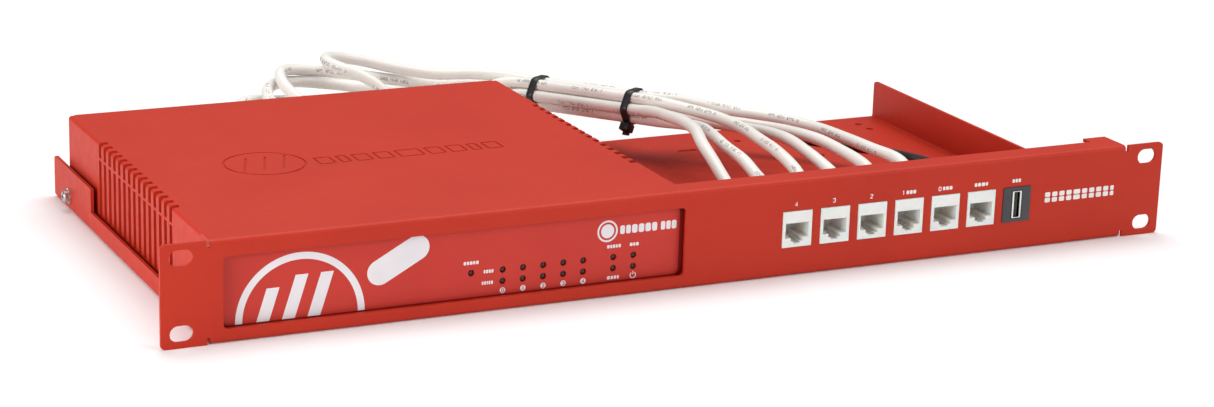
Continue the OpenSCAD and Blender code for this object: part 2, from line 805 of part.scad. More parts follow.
// Sheet that stands behind the vents of one side
module vent_baffle(s) {
    x = app_x + s * (app_w / 2 - cover_t - 3.2);
    color("firebrick") box(x - 0.4, x + 0.4, vent_y0 - 10, vent_y0 + vent_count * vent_pitch + 4,
        app_z0 + wall_t, app_z1 - cover_t - 2);
}

module foot(i) {
    color("black") translate([foot_places[i][0], foot_places[i][1], floor_top]) {
        cylinder(h = foot_h, d1 = 9, d2 = 10);
    }
}

// ---- Inside the appliance ----

module main_board() {
    color("darkgreen") difference() {
        box(board_x0, board_x1, board_y0, board_y1, board_z - board_t, board_z);
        for (p = standoffs) translate([p[0], p[1], board_z - 3]) cylinder(h = 4, d = free_hole_d);
    }
}

module board_screw(i) {
    color("silver") translate([standoffs[i][0], standoffs[i][1], board_z]) {
        difference() {
            union() {
                cylinder(h = 2, d = 5.6);
                translate([0, 0, -6]) cylinder(h = 6 + eps, d = screw_d);
            }
            for (a = [0, 90]) rotate(a) translate([-1.5, -0.35, 1]) cube([3, 0.7, 2]);
        }
    }
}

module processor() {
    color("dimgray") translate([chip_x - 12, chip_y - 12, board_z]) cube([24, 24, chip_t]);
}

module heat_sink() {
    sink_w = 56;
    fin_count = 10;
    fin_t = 1.4;
    fin_step = (sink_w - fin_t) / (fin_count - 1);
    color("gray") translate([chip_x - sink_w / 2, chip_y - sink_w / 2, board_z + chip_t]) {
        cube([sink_w, sink_w, 3]);
        for (i = [0:fin_count - 1]) translate([i * fin_step, 0, 0]) cube([fin_t, sink_w, 17]);
    }
}

// One block of sockets that opens to the back
module socket_block(x_first, count) {
    color("silver") difference() {
        box(x_first - (count - 0.5) * lan_pitch, x_first + lan_pitch / 2, port_face_y - 16, port_face_y,
            board_z, board_z + socket_h);
        for (i = [0:count - 1]) {
            translate([x_first - i * lan_pitch, port_face_y, port_z]) mirror([0, 1, 0]) socket_mouth();
        }
    }
}

// Folded shell of the data socket on a foot that meets the board
module usb_socket() {
    w = usb_shell_w / 2;
    h = usb_shell_h / 2;
    shell_t = 0.3;
    y0 = port_face_y - 14;
    color("silver") translate([usb_port_x, 0, usb_port_z]) {
        difference() {
            box(-w, w, y0, port_face_y, -h, h);
            box(-w + shell_t, w - shell_t, y0 + 1, port_face_y + 1, -h + shell_t, h - shell_t);
        }
        box(-w, w, y0, port_face_y - 3, board_z - usb_port_z, -h + eps);
    }
}

module dc_socket() {
    color("black") difference() {
        union() {
            box(dc_x - 4.5, dc_x + 4.5, app_y1 - 14, app_y1 - wall_t - clear, board_z, dc_z + 5);
            rod_y(dc_x, dc_z, app_y1 - 4, app_y1 + 1, 8.8);
        }
        rod_y(dc_x, dc_z, app_y1 - 9, app_y1 + 2, 5.6);
    }
    color("silver") rod_y(dc_x, dc_z, app_y1 - 9.5, app_y1 - 0.5, 2.1);
}

module reset_switch() {
    color("dimgray") box(reset_x - 3, reset_x + 3, app_y1 - 16, app_y1 - 10, board_z, board_z + 6);
}

// Recessed push button with a collar behind the rear wall
module reset_button() {
    color("black") {
        rod_y(reset_x, reset_z, app_y1 - 9, app_y1 - 0.6, 2.2);
        rod_y(reset_x, reset_z, app_y1 - 3.2, app_y1 - 1.6, 4);
    }
}

module ground_screw() {
    color("silver") pan_head_y(ground_x, ground_z, app_y1, 5);
}

// ---- Assembly ----

rack_tray();
fixing_screw();
for (i = [0:5]) coupler(i);
usb_coupler();
usb_coupler_shell();
for (i = [0:5]) front_plug(i);
for (i = [0:5]) rear_plug(i);
for (i = [0:5]) patch_cord(i);
usb_cord();
usb_plug_front();
usb_plug_rear();
cable_tie(tie_front);  // cable_tie_1
cable_tie(tie_rear);  // cable_tie_2
top_cover();
chassis_base();
front_bezel();
bezel_film();
light_pipes();
vent_baffle(-1);  // vent_baffle_left
vent_baffle(1);  // vent_baffle_right
main_board();
processor();
heat_sink();
socket_block(lan_x, 5);  // lan_sockets
socket_block(console_x, 1);  // console_socket
usb_socket();
dc_socket();
reset_switch();
reset_button();
ground_screw();
for (i = [0, 1]) cover_screw(i);
for (i = [0:3]) board_screw(i);
for (i = [0:3]) foot(i);
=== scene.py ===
"""Looks for a firewall appliance in a one-unit rack tray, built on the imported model's frame."""

import math

import bmesh
import bpy
from mathutils import Matrix, Vector


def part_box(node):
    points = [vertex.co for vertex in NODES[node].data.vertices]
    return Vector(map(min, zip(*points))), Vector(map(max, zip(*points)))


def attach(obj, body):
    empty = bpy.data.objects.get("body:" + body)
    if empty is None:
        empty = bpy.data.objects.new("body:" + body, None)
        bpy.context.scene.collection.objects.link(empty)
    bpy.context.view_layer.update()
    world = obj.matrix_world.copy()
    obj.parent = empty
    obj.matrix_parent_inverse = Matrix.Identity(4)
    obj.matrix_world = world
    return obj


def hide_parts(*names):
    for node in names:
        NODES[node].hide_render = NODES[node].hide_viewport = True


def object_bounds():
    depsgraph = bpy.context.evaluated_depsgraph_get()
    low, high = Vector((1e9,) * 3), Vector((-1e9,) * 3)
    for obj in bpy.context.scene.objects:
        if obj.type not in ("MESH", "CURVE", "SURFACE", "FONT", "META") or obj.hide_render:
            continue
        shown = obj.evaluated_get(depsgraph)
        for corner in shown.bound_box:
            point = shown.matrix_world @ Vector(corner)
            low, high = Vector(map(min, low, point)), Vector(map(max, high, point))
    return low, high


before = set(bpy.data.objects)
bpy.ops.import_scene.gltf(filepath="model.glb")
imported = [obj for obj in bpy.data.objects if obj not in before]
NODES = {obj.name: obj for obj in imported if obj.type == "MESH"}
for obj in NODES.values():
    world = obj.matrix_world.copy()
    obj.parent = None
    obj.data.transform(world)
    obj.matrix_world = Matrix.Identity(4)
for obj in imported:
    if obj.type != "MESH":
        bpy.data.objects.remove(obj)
cad_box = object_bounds()

MM = 0.001
ROOT = "chassis"

# ---- Camera: the photograph's viewing angle ----

LENS_MM = 86.85
SENSOR_MM = 36
CAMERA_PLACE = (-0.5665, -1.0726, 0.3693)
CAMERA_AZIMUTH = math.radians(-25.955)
CAMERA_ELEVATION = math.radians(16.331)
CAMERA_ROLL = math.radians(1.837)


def make_camera():
    back = Vector((
        math.sin(CAMERA_AZIMUTH) * math.cos(CAMERA_ELEVATION),
        -math.cos(CAMERA_AZIMUTH) * math.cos(CAMERA_ELEVATION),
        math.sin(CAMERA_ELEVATION),
    ))
    right = Vector((0, 0, 1)).cross(back).normalized()
    up = back.cross(right)
    level = Matrix((right, up, back)).transposed().to_4x4()
    data = bpy.data.cameras.new("camera")
    data.sensor_width = SENSOR_MM
    data.lens = LENS_MM
    data.clip_start = 0.01
    data.clip_end = 50
    camera = bpy.data.objects.new("camera", data)
    bpy.context.scene.collection.objects.link(camera)
    roll = Matrix.Rotation(CAMERA_ROLL, 4, "Z")
    camera.matrix_world = Matrix.Translation(CAMERA_PLACE) @ level @ roll
    bpy.context.scene.camera = camera


make_camera()

# ---- Cords: the sizes and routes of part.scad, in millimetres ----

PATCH_D = 5.8
DATA_D = 4.5
CLEAR = 0.1
PATH_STEP = 2
CORD_SIDES = 16
JACK_X = 48
JACK_PITCH = 19
USB_X = JACK_X + 6 * JACK_PITCH
PLUG_Z = -1.0
JACK_Z = -0.4
CORD_Y = 54
REAR_CORD_Y = 233.5
USB_CORD_Y = 61
USB_REAR_CORD_Y = 240.5
USB_PORT_X = -62
USB_PORT_Z = -5
REAR_SOCKET_X = (-148, -132, -116, -100, -84, -41)
REAR_SOCKET_Z = 0

TIE_FRONT = Vector((66, 200, 4))
TIE_REAR = Vector((37, 250, 1))
TIE_MARGIN = 6
BUNDLE_PITCH = PATCH_D + CLEAR
BUNDLE_ROW = BUNDLE_PITCH * math.sin(math.radians(60))
BUNDLE_U = (TIE_REAR - TIE_FRONT).normalized()
BUNDLE_N = Vector((BUNDLE_U.y, -BUNDLE_U.x, 0)).normalized()
BUNDLE_SLOTS = (
    (-BUNDLE_PITCH, 0),
    (-BUNDLE_PITCH / 2, -BUNDLE_ROW),
    (-BUNDLE_PITCH / 2, BUNDLE_ROW),
    (0, 0),
    (BUNDLE_PITCH, 0),
    (BUNDLE_PITCH / 2, BUNDLE_ROW),
    (BUNDLE_PITCH / 2, -BUNDLE_ROW),
)

FRONT_ROUTES = (
    ((48, 59, -0.5), (49, 70, 3), (51, 86, 8), (54, 102, 11), (59.5, 120, 12.5), (63, 140, 11.5),
     (65, 160, 9), (66.5, 178, 6.5)),
    ((67, 59, -0.5), (67.5, 72, 2), (67.5, 86, 6), (67, 102, 8), (70, 122, 8.5), (75, 142, 6.5),
     (75.5, 162, 3.5), (71, 181, 0.5)),
    ((86, 59, -0.5), (87, 72, 4), (88, 90, 7), (90, 112, 7.5), (92, 134, 7.5), (90, 155, 7.5),
     (82, 174, 8), (73, 187, 9)),
    ((105, 59, -0.5), (105, 74, 2.5), (106, 94, 4.5), (108.5, 116, 4.5), (109, 138, 2.5),
     (102, 158, 1), (90, 175, 1), (78, 187, 2.5)),
    ((124, 59, -0.5), (124.5, 73, 2.5), (125.5, 95, 3), (125, 118, 3), (121, 142, 1.5), (113, 162, 0),
     (100, 178, 0), (86, 190, 1.5)),
    ((143, 59, -0.5), (143.5, 72, 3), (143.5, 96, 2), (143, 122, 1), (140, 146, 0.5), (130, 168, 0.5),
     (114, 181, 2), (98, 184, 5.5), (84, 188.5, 9)),
    ((162, 66, -0.4), (163.5, 78, -1.5), (167, 98, -5), (166, 120, -8), (158, 143, -10.5),
     (145, 159, -10.5), (133, 172, -9.5), (119, 184, -7), (104, 193, -4.5), (88, 197, -2.5)),
)

REAR_ROUTES = (
    ((19, 258, -1.5), (2, 261, -4), (-16, 261, -5), (-40, 260, -5.5), (-64, 260, -7), (-88, 261, -9.5),
     (-112, 262, -11.5), (-128, 262.5, -11.5), (-140, 259, -9.5), (-148, 252, -6), (-150, 244, -2.5),
     (-148.5, 239, -0.6)),
    ((20, 262, -8), (3, 266, -10.5), (-16, 266, -11), (-40, 266, -11.5), (-64, 267, -12),
     (-88, 270, -11.5), (-104, 272, -9.5), (-116, 272, -7), (-126, 269, -4.5), (-132.5, 262, -2),
     (-134.5, 253, -0.6), (-133, 244, 0)),
    ((21, 263, 4.5), (8, 269, -1.5), (-8, 272, -6), (-28, 272, -7), (-48, 271, -4.5), (-66, 273, -1.5),
     (-84, 277, 0.5), (-97, 278, 1), (-108, 276, 2.8), (-116, 269, 3.6), (-119, 260, 3),
     (-118, 250, 1.6), (-116.3, 241, 0.2)),
    ((24, 268, -1), (8, 276, -3.5), (-10, 280, -3.5), (-30, 279, 0.5), (-50, 278, 4.5), (-66, 280, 7),
     (-80, 283, 8.5), (-92, 281, 9.5), (-100, 274.5, 9), (-103.5, 266, 6.5), (-102.5, 255, 2.5),
     (-100.5, 245, 0.3)),
    ((30, 272, 0.5), (12, 283, 0), (-8, 287, 0.5), (-28, 287, 4.5), (-46, 285, 8.5), (-64, 284, 12),
     (-78, 284.5, 14), (-87, 282.5, 15.5), (-93.5, 276, 15.5), (-95, 267.5, 12.5), (-92, 259.5, 8),
     (-87.5, 252, 3.5), (-84.6, 244.5, 0.6)),
    ((27, 268, 6.5), (11, 277, 7), (-8, 281, 7.5), (-28, 285, 11), (-45, 288, 15.5), (-58, 287, 18.5),
     (-67, 281, 20.5), (-70, 273, 20.5), (-66, 265, 19), (-58, 260, 16), (-50, 255, 11),
     (-43.5, 248, 3), (-41, 241, 0.4)),
    ((27, 268, -9), (12, 275, -13), (-8, 277, -15.5), (-28, 274, -17), (-46, 267, -17.5),
     (-57, 259, -15.5), (-62, 251, -9.5), (-62.5, 246, -6)),
)


def bundle_point(tie, shift, k):
    """Where cord k passes a tie, shifted along the bundle."""
    across, up = BUNDLE_SLOTS[k]
    return tie + shift * BUNDLE_U + across * BUNDLE_N + Vector((0, 0, up))


def cord_route(k, start, end):
    """(points, directions at the points) of cord k: straight through the ties, smooth elsewhere."""
    front = [Vector(p) for p in (start, *FRONT_ROUTES[k])]
    bundle = [bundle_point(t, s, k) for t in (TIE_FRONT, TIE_REAR) for s in (-TIE_MARGIN, TIE_MARGIN)]
    rear = [Vector(p) for p in (*REAR_ROUTES[k], end)]
    points = front + bundle + rear
    ways = []
    for i, _ in enumerate(points):
        if i in (0, len(points) - 1):
            ways.append(Vector((0, 1 if i == 0 else -1, 0)))
        elif len(front) <= i < len(front) + len(bundle):
            ways.append(BUNDLE_U.copy())
        else:
            ways.append((points[i + 1] - points[i - 1]).normalized())
    return points, ways


def smooth_path(points, ways, step):
    """Points about a step apart along the cubic Hermite curve through the route."""
    path = []
    for a, b, ta, tb in zip(points, points[1:], ways, ways[1:]):
        reach = (b - a).length
        count = max(2, round(reach / step))
        for j in range(count):
            t = j / count
            path.append(
                (2 * t**3 - 3 * t**2 + 1) * a
                + (t**3 - 2 * t**2 + t) * reach * ta
                + (3 * t**2 - 2 * t**3) * b
                + (t**3 - t**2) * reach * tb
            )
    path.append(points[-1])
    return path


def add_piece(name, mesh, look):
    """A Blender piece that rides on the chassis, the only body with pieces."""
    piece = bpy.data.objects.new(name, mesh)
    bpy.context.scene.collection.objects.link(piece)
    mesh.materials.append(look)
    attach(piece, ROOT)
    return piece


def tube_mesh(name, path, diameter, twist):
    """A tube along a path in metres. Its map runs in millimetres along it and once round it.

    The twist says how far round the map starts, and how far it turns in a metre.
    """
    start, rate = twist
    mesh = bpy.data.meshes.new(name)
    bm = bmesh.new()
    layer = bm.loops.layers.uv.new("along")
    side = (path[1] - path[0]).cross(Vector((0, 0, 1))).normalized()
    rings = []
    run = [0.0]
    for i, p in enumerate(path):
        ahead = (path[min(i + 1, len(path) - 1)] - path[max(i - 1, 0)]).normalized()
        side = (side - side.dot(ahead) * ahead).normalized()
        over = ahead.cross(side)
        if i:
            run.append(run[-1] + (p - path[i - 1]).length / MM)
        angles = [2 * math.pi * a / CORD_SIDES for a in range(CORD_SIDES)]
        rings.append([
            bm.verts.new(p + diameter / 2 * (math.cos(a) * side + math.sin(a) * over)) for a in angles
        ])
    for i in range(len(path) - 1):
        for a in range(CORD_SIDES):
            b = (a + 1) % CORD_SIDES
            face = bm.faces.new((rings[i][a], rings[i][b], rings[i + 1][b], rings[i + 1][a]))
            face.smooth = True
            corners = ((i, a), (i, a + 1), (i + 1, a + 1), (i + 1, a))
            for loop, (ring, turn) in zip(face.loops, corners):
                loop[layer].uv = (run[ring], turn / CORD_SIDES + start + rate * run[ring] * MM)
    for ring in (list(reversed(rings[0])), rings[-1]):
        bm.faces.new(ring)
    bmesh.ops.recalc_face_normals(bm, faces=bm.faces)
    bm.to_mesh(mesh)
    bm.free()
    return mesh


# ---- Mesh tools, in millimetres ----

SHARP_ANGLE = math.radians(40)
# A stroke widens at a corner by one over a cosine, which is never taken smaller than this
CORNER_LIMIT = 0.6


def disc(radius, sides=24, centre=(0, 0)):
    """Outline of a round disc."""
    turns = [2 * math.pi * i / sides for i in range(sides)]
    return [(centre[0] + radius * math.cos(t), centre[1] + radius * math.sin(t)) for t in turns]


def rounded(width, height, radius, centre=(0, 0), steps=4):
    """Outline of a rectangle with round corners."""
    outline = []
    for quarter, (sx, sy) in enumerate(((1, 1), (-1, 1), (-1, -1), (1, -1))):
        cx = centre[0] + sx * (width / 2 - radius)
        cy = centre[1] + sy * (height / 2 - radius)
        for i in range(steps + 1):
            t = math.pi / 2 * (quarter + i / steps)
            outline.append((cx + radius * math.cos(t), cy + radius * math.sin(t)))
    return outline


class Shape:
    """Closed shells gathered in one mesh. What is added passes through the matrix in place."""

    def __init__(self, place=None):
        self.bm = bmesh.new()
        self.place = place or Matrix()

    def skin(self, rings, loop=False):
        """A skin over rings of points, with flat ends unless the last ring joins the first."""
        rows = [[self.bm.verts.new(self.place @ Vector(p)) for p in ring] for ring in rings]
        pairs = list(zip(rows, rows[1:])) + ([(rows[-1], rows[0])] if loop else [])
        for one, two in pairs:
            for i in range(len(one)):
                j = (i + 1) % len(one)
                self.bm.faces.new((one[i], one[j], two[j], two[i]))
        if not loop:
            self.bm.faces.new(list(reversed(rows[0])))
            self.bm.faces.new(rows[-1])

    def along_y(self, sections, loop=False):
        """A skin over (y, outline in x and z) sections."""
        self.skin([[(a, y, b) for a, b in outline] for y, outline in sections], loop)

    def brick(self, low, high, edge):
        """A box between two corners whose edges are rounded off in two steps."""
        (x0, y0, z0), (x1, y1, z1) = low, high
        centre = ((x0 + x1) / 2, (z0 + z1) / 2)
        wide, tall = x1 - x0, z1 - z0
        steps = ((0, edge), (edge * 0.3, edge * 0.3), (edge, 0))
        places = [(y0 + depth, inset) for depth, inset in steps]
        places += [(y1 - depth, inset) for depth, inset in reversed(steps)]
        sections = []
        for y, inset in places:
            corner = max(edge * 1.2 - inset * 0.6, edge * 0.4)
            sections.append((y, rounded(wide - 2 * inset, tall - 2 * inset, corner, centre, 3)))
        self.along_y(sections)

    def frame(self, outer, inner, y0, y1):
        """A flat frame between two outlines that have equally many points."""
        self.along_y([(y0, outer), (y1, outer), (y1, inner), (y0, inner)], loop=True)

    def wire(self, points, diameter, sides=8):
        """A wire along a few points."""
        path = [Vector(p) for p in points]
        rings = []
        for i, p in enumerate(path):
            ahead = (path[min(i + 1, len(path) - 1)] - path[max(i - 1, 0)]).normalized()
            guide = Vector((1, 0, 0)) if abs(ahead.x) < 0.9 else Vector((0, 0, 1))
            side = ahead.cross(guide).normalized()
            over = ahead.cross(side)
            rings.append([p + a * side + b * over for a, b in disc(diameter / 2, sides)])
        self.skin(rings)

    def stroke(self, points, width, y0, y1, closed=False):
        """A flat line of one width through points in x and z, between two depths."""
        count = len(points)
        rings = []
        for i, (x, z) in enumerate(points):
            before = points[(i - 1) % count] if closed or i else None
            after = points[(i + 1) % count] if closed or i < count - 1 else None
            ways = []
            for a, b in ((before, (x, z)), ((x, z), after)):
                if a and b:
                    reach = math.hypot(b[0] - a[0], b[1] - a[1])
                    ways.append(((b[0] - a[0]) / reach, (b[1] - a[1]) / reach))
            wx, wz = sum(w[0] for w in ways), sum(w[1] for w in ways)
            reach = math.hypot(wx, wz) or 1
            nx, nz = -wz / reach, wx / reach
            half = width / 2 / max(CORNER_LIMIT, abs(nx * -ways[0][1] + nz * ways[0][0]))
            left, right = (x + nx * half, z + nz * half), (x - nx * half, z - nz * half)
            rings.append([(left[0], y0, left[1]), (right[0], y0, right[1]),
                          (right[0], y1, right[1]), (left[0], y1, left[1])])
        self.skin(rings, closed)

    def mesh(self, name):
        """The finished mesh in metres, smooth but for its sharp edges."""
        bmesh.ops.recalc_face_normals(self.bm, faces=self.bm.faces)
        mesh = bpy.data.meshes.new(name)
        self.bm.to_mesh(mesh)
        self.bm.free()
        mesh.transform(Matrix.Scale(MM, 4))
        mesh.shade_smooth()
        mesh.set_sharp_from_angle(angle=SHARP_ANGLE)
        return mesh


# ---- Materials ----

# The part of a noise's range that a material spreads out
NOISE_LOW = 0.3
NOISE_HIGH = 0.7

# Print on a cord: strokes in small cells, gathered in words, and words in lines with a gap after each.
# Lengths are in millimetres along the cord, and the line's place and half width in turns round it.
STROKE_L = 0.5
STROKE_ROWS = 46
STROKE_THRESHOLD = 0.42
LINE_PITCH = 34
LINE_SHARE = 0.55
WORD_PITCH = 6.1
WORD_GAP_SHARE = 0.22
LINE_TURN = 0.66
LINE_HALF_WIDTH = 0.05
INK_STRENGTH = 0.62


class Look:
    """A material and short ways to add its nodes. Places are the object's own, in metres."""

    def __init__(self, name, **settings):
        self.material = bpy.data.materials.new(name)
        self.material.use_nodes = True
        self.tree = self.material.node_tree
        self.shader = self.tree.nodes["Principled BSDF"]
        for key, value in settings.items():
            self.shader.inputs[key.replace("_", " ")].default_value = value
        self.place = self.tree.nodes.new("ShaderNodeTexCoord").outputs["Object"]

    def add(self, kind, settings=None, **links):
        """A node with its settings. Its sockets are given by name, or by number as _0 and _1."""
        node = self.tree.nodes.new(kind)
        for key, value in (settings or {}).items():
            setattr(node, key, value)
        for key, value in links.items():
            socket = node.inputs[int(key[1:]) if key[1:].isdigit() else key.replace("_", " ")]
            if isinstance(value, bpy.types.NodeSocket):
                self.tree.links.new(value, socket)
            else:
                socket.default_value = value
        return node

    def noise(self, scale, detail=2.0, rough=0.5, place=None):
        node = self.add("ShaderNodeTexNoise", Vector=place or self.place, Scale=scale, Detail=detail)
        node.inputs["Roughness"].default_value = rough
        return node.outputs["Fac"]

    def spread(self, value, low, high):
        """The middle of a noise's range, mapped to low to high."""
        node = self.add("ShaderNodeMapRange", Value=value)
        limits = {"From Min": NOISE_LOW, "From Max": NOISE_HIGH, "To Min": low, "To Max": high}
        for key, number in limits.items():
            node.inputs[key].default_value = number
        return node.outputs["Result"]

    def math(self, operation, a, b=0.0):
        node = self.add("ShaderNodeMath", {"operation": operation}, _0=a, _1=b)
        return node.outputs["Value"]

    def mix(self, factor, a, b):
        node = self.add("ShaderNodeMix", {"data_type": "RGBA"})
        for key, value in (("Factor", factor), ("A", a), ("B", b)):
            kind = "VALUE" if key == "Factor" else "RGBA"
            socket = next(s for s in node.inputs if s.name == key and s.type == kind)
            if isinstance(value, bpy.types.NodeSocket):
                self.tree.links.new(value, socket)
            else:
                socket.default_value = value
        return next(s for s in node.outputs if s.type == "RGBA")

    def drive(self, key, value):
        self.tree.links.new(value, self.shader.inputs[key])

    def bump(self, height, distance, normal=None):
        node = self.add("ShaderNodeBump", Height=height, Distance=distance, Strength=1.0)
        if normal:
            self.tree.links.new(normal, node.inputs["Normal"])
        self.drive("Normal", node.outputs["Normal"])
        return node.outputs["Normal"]


def rgb(red, green, blue):
    """A colour from its values on screen, 0 to 255, as the shader's linear one."""
    def linear(v):
        v /= 255
        return v / 12.92 if v <= 0.04045 else ((v + 0.055) / 1.055) ** 2.4
    return (linear(red), linear(green), linear(blue), 1.0)


def powder_coat(name, light, dark, roughness, grain=0.00002):
    """Powder coat: slow colour drift, orange peel and a fine grain."""
    look = Look(name, Specular_IOR_Level=0.22)
    look.drive("Base Color", look.mix(look.spread(look.noise(18, 3), 0, 1), light, dark))
    look.drive("Roughness", look.spread(look.noise(240, 3), roughness - 0.04, roughness + 0.06))
    peel = look.bump(look.noise(600, 2), grain)
    look.bump(look.noise(2400, 2), grain * 0.4, normal=peel)
    return look.material


def moulded(name, light, dark, roughness, grain=0.00002, **settings):
    """Moulded plastic: faint clouding and a fine spark-eroded grain."""
    look = Look(name, **settings)
    look.drive("Base Color", look.mix(look.spread(look.noise(55, 3), 0, 1), light, dark))
    look.drive("Roughness", look.spread(look.noise(900, 2), roughness - 0.05, roughness + 0.07))
    look.bump(look.noise(2600, 2), grain)
    return look.material


def metal(name, colour, roughness, stretch=(1, 1, 1)):
    """Plated or drawn metal with fine scratches along one way."""
    look = Look(name, Metallic=1.0)
    place = look.add("ShaderNodeMapping", Vector=look.place, Scale=stretch).outputs["Vector"]
    lines = look.noise(900, 4, 0.6, place)
    darker = tuple(c * 0.75 for c in colour[:3]) + (1.0,)
    look.drive("Base Color", look.mix(look.spread(look.noise(120, 3), 0, 1), colour, darker))
    look.drive("Roughness", look.spread(lines, roughness - 0.06, roughness + 0.14))
    look.bump(lines, 0.00001)
    return look.material


def printed_jacket(name, light, dark, ink, roughness):
    """Cord jacket: soft sheen, faint waviness, and a broken line of small printed strokes."""
    look = Look(name)
    uv = look.add("ShaderNodeUVMap", {"uv_map": "along"}).outputs["UV"]
    parts = look.add("ShaderNodeSeparateXYZ", Vector=uv)
    along, around = parts.outputs["X"], parts.outputs["Y"]
    stroke = look.add("ShaderNodeTexWhiteNoise", {"noise_dimensions": "2D"})
    cells = look.add("ShaderNodeCombineXYZ")
    columns = look.math("FLOOR", look.math("MULTIPLY", along, 1 / STROKE_L))
    rows = look.math("FLOOR", look.math("MULTIPLY", around, STROKE_ROWS))
    look.tree.links.new(columns, cells.inputs["X"])
    look.tree.links.new(rows, cells.inputs["Y"])
    look.tree.links.new(cells.outputs["Vector"], stroke.inputs["Vector"])
    solid = look.math("GREATER_THAN", stroke.outputs["Value"], STROKE_THRESHOLD)
    in_line = look.math("FRACT", look.math("MULTIPLY", along, 1 / LINE_PITCH))
    in_word = look.math("FRACT", look.math("MULTIPLY", along, 1 / WORD_PITCH))
    line = look.math("LESS_THAN", in_line, LINE_SHARE)
    word = look.math("GREATER_THAN", in_word, WORD_GAP_SHARE)
    band = look.math("COMPARE", look.math("FRACT", look.math("ADD", around, 1)), LINE_TURN)
    band.node.inputs[2].default_value = LINE_HALF_WIDTH
    mark = look.math("MULTIPLY", look.math("MULTIPLY", solid, line), look.math("MULTIPLY", word, band))
    jacket = look.mix(look.spread(look.noise(40, 3), 0, 1), light, dark)
    look.drive("Base Color", look.mix(look.math("MULTIPLY", mark, INK_STRENGTH), jacket, ink))
    look.drive("Roughness", look.spread(look.noise(500, 3), roughness - 0.05, roughness + 0.1))
    look.bump(look.noise(260, 2), 0.00006)
    return look.material


RED = powder_coat("red_powder_coat", rgb(191, 49, 28), rgb(184, 45, 26), 0.5)
# The same red coat, painted darker as shade for the base and baffles inside the cover
SHADED_INNER_RED = powder_coat("inner_red_painted_shade", rgb(174, 40, 28), rgb(162, 33, 22), 0.5)
FILM_RED = powder_coat("film_red", rgb(201, 60, 49), rgb(194, 55, 45), 0.36, 0.000006)
# Painted shade: a dark red for the bezel edge that the window's edge shades
PAINTED_SHADE_RED = powder_coat("bezel_edge_painted_shade", rgb(140, 26, 26), rgb(128, 20, 22), 0.4, 0.000006)
PRINT_WHITE = moulded("print_white", rgb(236, 232, 234), rgb(228, 224, 228), 0.45)
LABEL_WHITE = moulded("label_white", rgb(240, 236, 234), rgb(228, 222, 220), 0.5)
COUPLER_WHITE = moulded("coupler_white", rgb(240, 239, 236), rgb(233, 232, 228), 0.32,
                        Subsurface_Weight=0.6, Subsurface_Scale=0.004)
PLUG_WHITE = moulded("plug_white", rgb(236, 234, 229), rgb(226, 224, 219), 0.3)
COUPLER_DARK = moulded("coupler_dark", rgb(62, 64, 68), rgb(52, 54, 58), 0.42)
JACKET_WHITE = printed_jacket("jacket_white", rgb(238, 234, 228), rgb(228, 223, 216),
                              rgb(110, 108, 108), 0.36)
JACKET_BLACK = moulded("jacket_black", rgb(30, 30, 32), rgb(22, 22, 24), 0.45)
BLACK = moulded("black_plastic", rgb(33, 33, 35), rgb(24, 24, 26), 0.38)
RUBBER = moulded("black_rubber", rgb(38, 38, 40), rgb(28, 28, 30), 0.7, 0.00005)
SMOKED = moulded("smoked_pipe", rgb(54, 20, 18), rgb(40, 14, 14), 0.16)
ZINC = metal("zinc", rgb(205, 205, 203), 0.26)
SHELL = metal("nickel_shell", rgb(196, 194, 188), 0.24, (1, 0.1, 1))
BRIGHT_RIM = metal("bright_rim", rgb(238, 238, 234), 0.34)
GOLD = metal("gold_contact", rgb(222, 186, 110), 0.2)
ANODISED = metal("black_anodised", rgb(70, 71, 74), 0.4, (1, 0.1, 1))
LENS_GREEN = moulded("lens_green", rgb(96, 150, 92), rgb(80, 132, 78), 0.2)
LENS_AMBER = moulded("lens_amber", rgb(190, 138, 66), rgb(170, 120, 54), 0.2)
BOARD_GREEN = moulded("board_green", rgb(24, 92, 52), rgb(16, 74, 42), 0.35)


COUPLERS = [f"coupler_{i}" for i in range(1, 7)]


def paint(look, *names):
    for name in names:
        NODES[name].data.materials.clear()
        NODES[name].data.materials.append(look)


def soften(width, *names):
    """Rounds the sharp edges of CAD nodes by a width in millimetres."""
    for name in names:
        bevel = NODES[name].modifiers.new("soft_edges", "BEVEL")
        bevel.width = width * MM
        bevel.segments = 2
        bevel.limit_method = "ANGLE"
        bevel.angle_limit = math.radians(50)
        bevel.use_clamp_overlap = False
        bevel.harden_normals = True


soften(0.18, "rack_tray", "top_cover", "chassis_base")
soften(0.3, "front_bezel", "usb_coupler", *COUPLERS)
paint(RED, "rack_tray", "top_cover", "front_bezel")
# The base and baffles inside the cover get the red coat painted darker, as shade
paint(SHADED_INNER_RED, "chassis_base", "vent_baffle_left", "vent_baffle_right")
paint(FILM_RED, "bezel_film")
paint(COUPLER_WHITE, *COUPLERS)
paint(COUPLER_DARK, "usb_coupler")
paint(SHELL, "usb_coupler_shell", "lan_sockets", "console_socket", "usb_socket")
paint(PLUG_WHITE, *[f"{end}_plug_{i}" for end in ("front", "rear") for i in range(1, 7)])
paint(BLACK, "usb_plug_front", "usb_plug_rear", "cable_tie_1", "cable_tie_2")
paint(BLACK, "dc_socket", "processor", "reset_switch", "reset_button")
paint(RUBBER, *[f"foot_{i}" for i in range(1, 5)])
paint(SMOKED, "light_pipes")
paint(ZINC, "fixing_screw", "ground_screw", "cover_screw_1", "cover_screw_2")
paint(ZINC, *[f"board_screw_{i}" for i in range(1, 5)])
paint(ANODISED, "heat_sink")
paint(BOARD_GREEN, "main_board")

# ---- Cord pieces ----

# Where round the cord its line of print starts, in turns, and how far it turns in a metre
PRINT_TWIST = ((0.42, -1.1), (0.95, 0.9), (0.02, 0.12), (0.45, 1.3), (0.4, -0.8), (0.22, -1.5), (0, 0))


